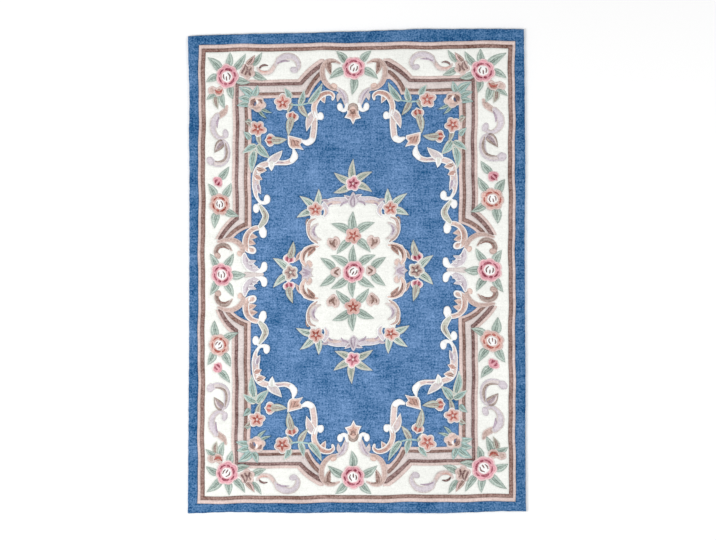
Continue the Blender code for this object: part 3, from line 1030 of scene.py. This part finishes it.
def pile_pieces(xy, faces, zone, heights, sinking):
    """One piece for each yarn colour."""
    yarns = yarns_of(zone)
    made = []
    for name, (colour, slot) in YARNS.items():
        used, local = np.unique(faces[yarns == name], return_inverse=True)
        mesh = bpy.data.meshes.new(f"pile_{name}")
        vertices = np.column_stack([xy[used], heights[used]])
        mesh.from_pydata(vertices.tolist(), [], local.reshape(-1, 3).tolist())
        # How far each point is sunk, by which the wool paints shade into its channels
        mesh.attributes.new("sinking", "FLOAT", "POINT").data.foreach_set("value", sinking[used])
        mesh.materials.append(wool(name, colour))
        mesh.shade_smooth()
        made.append(riding(mesh))
    return made


def drop_sides(navy, edge):
    """Takes the navy pile's outer edge down over its side to the foundation."""
    shape = bmesh.new()
    shape.from_mesh(navy.data)
    rim = tree_of(edge)
    outer = [e for e in shape.edges if e.is_boundary
             and all(distance_to(rim, complex(v.co.x, v.co.y)) < ON_EDGE for v in e.verts)]
    for down, out in SIDE_ROWS:
        grown = bmesh.ops.extrude_edge_only(shape, edges=outer)["geom"]
        for vertex in (g for g in grown if isinstance(g, bmesh.types.BMVert)):
            radial = Vector((vertex.co.x, vertex.co.y, 0)).normalized()
            vertex.co.z = max(SIDE_FOOT, vertex.co.z - down)
            vertex.co += radial * (out + rng.uniform(-SIDE_UNEVENNESS, SIDE_UNEVENNESS))
        outer = [g for g in grown if isinstance(g, bmesh.types.BMEdge)]
    bmesh.ops.recalc_face_normals(shape, faces=shape.faces)
    shape.to_mesh(navy.data)
    shape.free()


def foundation_piece(edge):
    """The foundation cloth below the pile: a thin closed sheet, its underside flat on the floor."""
    ring = inset(edge, FOUNDATION_INSET)
    shape = bmesh.new()
    low = [shape.verts.new((z.real, z.imag, 0.0)) for z in ring]
    high = [shape.verts.new((z.real, z.imag, FOUNDATION_THICKNESS)) for z in ring]
    for i in range(len(ring)):
        j = (i + 1) % len(ring)
        shape.faces.new((low[i], low[j], high[j], high[i]))
    shape.faces.new(high)
    shape.faces.new(low[::-1])
    bmesh.ops.triangulate(shape, faces=shape.faces)
    mesh = bpy.data.meshes.new("foundation_cloth")
    shape.to_mesh(mesh)
    shape.free()
    mesh.materials.append(cloth())
    return riding(mesh)


# Materials


# The wool's tone is the sum of flecks, streaks each way and patches: (scale, stretch, detail, reach). The
# flecks are partly the yarn's uneven tone and partly painted light and shade on the tufts; the streaks and
# patches are painted light and shade of a brushed nap.
NOISES = (
    (150, (1, 1, 1), 4, 1.75),
    (120, (0.15, 1, 1), 2, 0.70),
    (120, (1, 0.15, 1), 2, 0.40),
    (9, (1, 1, 1), 3, 0.75),
)
NOISE_ROUGHNESS = 0.6
NOISE_RANGE = (0.3, 0.7)
DARKEST_TONE = -1.7

# The share of its colour's light that a yarn gives back, and what a tone of 1 adds to that: a share of it
# and a little grey, which makes the lighter flecks, partly painted highlights, paler
YARN_ALBEDO = 0.92
TONE_SHARE, TONE_GREY = 0.187, 0.04

# How much of the tone a yarn shows, and how deep the shade painted in its channels: (for black, how
# much less for white, lowest, highest)
LIVELINESS = (1.75, 1.6, 0.0, 1.0)
PAINTED_CHANNEL_SHADE = (1.10, 1.1, 0.10, 0.45)

# The ends of the tufts, as bumps
TUFT_SCALE, TUFT_BUMP, TUFT_HEIGHT = 330.0, 0.35, 0.0012
WOOL_SURFACE = {
    "Roughness": 0.95, "Specular IOR Level": 0.12, "Sheen Weight": 0.12, "Sheen Roughness": 0.6,
}

# The foundation cloth: its threads, and their colours in the gaps and on top
THREAD_SCALE, THREAD_DISTORTION = 110.0, 0.6
WEAVE_BUMP, WEAVE_HEIGHT = 0.5, 0.0006
CLOTH_GAP, CLOTH_TOP = (176, 164, 138), (214, 204, 180)


def linear(colour):
    """An 8-bit screen colour as linear light."""
    return tuple((c / 255 / 12.92) if c < 10 else ((c / 255 + 0.055) / 1.055) ** 2.4 for c in colour)


def for_brightness(colour, dark, fall, lowest, highest):
    """A strength that falls as the colour gets brighter, within limits."""
    brightness = sum(colour) / (3 * 255)
    return min(highest, max(lowest, dark - fall * brightness))


def new_material(name, **surface):
    """A material and its shader, with some of the shader's inputs set."""
    material = bpy.data.materials.new(name)
    material.use_nodes = True
    shader = material.node_tree.nodes["Principled BSDF"]
    for socket, value in surface.items():
        shader.inputs[socket].default_value = value
    return material, shader


def node_of(tree, kind, **values):
    """A shader node with some of its inputs set."""
    made = tree.nodes.new(kind)
    for name, value in values.items():
        made.inputs[name.replace("_", " ").title()].default_value = value
    return made


def wool(name, colour):
    """Cut wool pile: flecked tufts, streaks each way and soft patches of painted nap light and shade.

    All four add to one tone, which lightens or darkens the yarn by nearly the same in red, green and
    blue. The flecks are partly the yarn's uneven tone and partly painted light and shade on the tufts.
    Pale yarns show less of it, and less painted shade in their channels, where the pile sinks.
    """
    material, shader = new_material(f"wool_{name}", **WOOL_SURFACE)
    tree = material.node_tree
    place = node_of(tree, "ShaderNodeTexCoord").outputs["Object"]

    def spread(value, low, high, limits):
        ranged = node_of(tree, "ShaderNodeMapRange")
        ranged.inputs["From Min"].default_value, ranged.inputs["From Max"].default_value = limits
        ranged.inputs["To Min"].default_value = low
        ranged.inputs["To Max"].default_value = high
        tree.links.new(value, ranged.inputs["Value"])
        return ranged.outputs["Result"]

    def noise(scale, stretch, detail, reach):
        mapping = node_of(tree, "ShaderNodeMapping")
        mapping.inputs["Scale"].default_value = stretch
        tree.links.new(place, mapping.inputs["Vector"])
        texture = node_of(
            tree, "ShaderNodeTexNoise", scale=scale, detail=detail, roughness=NOISE_ROUGHNESS
        )
        tree.links.new(mapping.outputs["Vector"], texture.inputs["Vector"])
        return spread(texture.outputs["Fac"], -reach, reach, NOISE_RANGE)

    def combined(kind, operation, first, second, socket=1):
        node = node_of(tree, kind)
        node.operation = operation
        for place_in, value in ((0, first), (socket, second)):
            if isinstance(value, bpy.types.NodeSocket):
                tree.links.new(value, node.inputs[place_in])
            else:
                node.inputs[place_in].default_value = value
        return node.outputs[0]

    lively = for_brightness(colour, *LIVELINESS)
    # The tone: the yarn's uneven tone, with painted light and shade on its tufts and nap
    tones = [noise(*which, reach * lively) for *which, reach in NOISES]
    tone = tones[0]
    for other in tones[1:]:
        tone = combined("ShaderNodeMath", "ADD", tone, other)
    tone = combined("ShaderNodeMath", "MAXIMUM", tone, DARKEST_TONE)
    base = Vector(YARN_ALBEDO * c for c in linear(colour))
    change = base * TONE_SHARE + Vector((TONE_GREY, TONE_GREY, TONE_GREY))
    tinted = combined("ShaderNodeVectorMath", "SCALE", change, tone, "Scale")
    tinted = combined("ShaderNodeVectorMath", "ADD", tinted, base)

    # Painted shade: the colour is darkened where the pile sinks into a channel
    sinking = node_of(tree, "ShaderNodeAttribute")
    sinking.attribute_name = "sinking"
    shade = for_brightness(colour, *PAINTED_CHANNEL_SHADE)
    painted_shade = spread(sinking.outputs["Fac"], 1, 1 - shade, (0, 1))
    tinted = combined("ShaderNodeVectorMath", "SCALE", tinted, painted_shade, "Scale")
    tree.links.new(tinted, shader.inputs["Base Color"])

    tufts = node_of(tree, "ShaderNodeTexVoronoi", scale=TUFT_SCALE)
    tree.links.new(place, tufts.inputs["Vector"])
    bump = node_of(tree, "ShaderNodeBump", strength=TUFT_BUMP, distance=TUFT_HEIGHT)
    bump.invert = True
    tree.links.new(tufts.outputs["Distance"], bump.inputs["Height"])
    tree.links.new(bump.outputs["Normal"], shader.inputs["Normal"])
    return material


def cloth():
    """Plain woven foundation cloth."""
    material, shader = new_material("foundation_weave", Roughness=0.9)
    tree = material.node_tree
    place = node_of(tree, "ShaderNodeTexCoord").outputs["Object"]
    heights = []
    for way in ("X", "Y"):
        threads = node_of(
            tree, "ShaderNodeTexWave", scale=THREAD_SCALE, distortion=THREAD_DISTORTION
        )
        threads.bands_direction = way
        tree.links.new(place, threads.inputs["Vector"])
        heights.append(threads.outputs["Fac"])
    weave = node_of(tree, "ShaderNodeMath")
    weave.operation = "MAXIMUM"
    for socket, height in zip(weave.inputs, heights):
        tree.links.new(height, socket)
    ramp = node_of(tree, "ShaderNodeValToRGB")
    for element, colour in zip(ramp.color_ramp.elements, (CLOTH_GAP, CLOTH_TOP)):
        element.color = (*linear(colour), 1)
    tree.links.new(weave.outputs["Value"], ramp.inputs["Fac"])
    tree.links.new(ramp.outputs["Color"], shader.inputs["Base Color"])
    bump = node_of(tree, "ShaderNodeBump", strength=WEAVE_BUMP, distance=WEAVE_HEIGHT)
    tree.links.new(weave.outputs["Value"], bump.inputs["Height"])
    tree.links.new(bump.outputs["Normal"], shader.inputs["Normal"])
    return material


# Floor, light and camera

FLOOR_SIZE, FLOOR_DROP = 40.0, 0.0005
FLOOR_SURFACE = {"Base Color": (0.98, 0.98, 0.98, 1), "Roughness": 0.8, "Specular IOR Level": 0.1}

# Each light's name, place, size and power
LIGHTS = (("key", (-3.2, -0.8, 3.6), 2.2, 138), ("fill", (3.4, -0.4, 3.6), 3.0, 80))
SKY_STRENGTH = 0.50

# The width of floor that the camera sees, and the point it looks down on
VIEW_WIDTH = 2.975
VIEW_CENTRE = (0.0042, 0.0046)
LENS, SENSOR = 85.0, 36.0
VIEW_REACH = 60


def add_floor():
    bpy.ops.mesh.primitive_plane_add(size=FLOOR_SIZE, location=(0, 0, -FLOOR_DROP))
    floor = bpy.context.object
    floor.name = "floor"
    material, _ = new_material("plain_pale_floor", **FLOOR_SURFACE)
    floor.data.materials.append(material)


def add_light(name, place, size, power):
    light = bpy.data.lights.new(name, "AREA")
    light.shape = "SQUARE"
    light.size = size
    light.energy = power
    lamp = bpy.data.objects.new(name, light)
    bpy.context.scene.collection.objects.link(lamp)
    lamp.location = place
    lamp.rotation_euler = (-Vector(place)).to_track_quat("-Z", "Y").to_euler()


def light_and_camera():
    scene = bpy.context.scene
    scene.view_settings.view_transform = "Standard"
    world = bpy.data.worlds.new("studio")
    scene.world = world
    world.use_nodes = True
    background = world.node_tree.nodes["Background"]
    background.inputs["Color"].default_value = (1, 1, 1, 1)
    background.inputs["Strength"].default_value = SKY_STRENGTH
    for light in LIGHTS:
        add_light(*light)

    camera = bpy.data.cameras.new("camera")
    camera.lens = LENS
    camera.sensor_width = SENSOR
    camera.clip_end = VIEW_REACH
    holder = bpy.data.objects.new("camera", camera)
    scene.collection.objects.link(holder)
    holder.location = (*VIEW_CENTRE, PILE_TOP + VIEW_WIDTH * LENS / SENSOR)
    scene.camera = holder


def main():
    light_and_camera()
    add_floor()
    draw_chart()
    edge = rug_outline()
    xy, faces, zone = cut_surface(edge)
    heights, sinking = pile_heights(xy, faces, zone, edge)
    pile = pile_pieces(xy, faces, zone, heights, sinking)
    drop_sides(pile[0], edge)
    foundation = foundation_piece(edge)
    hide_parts("rug")


main()
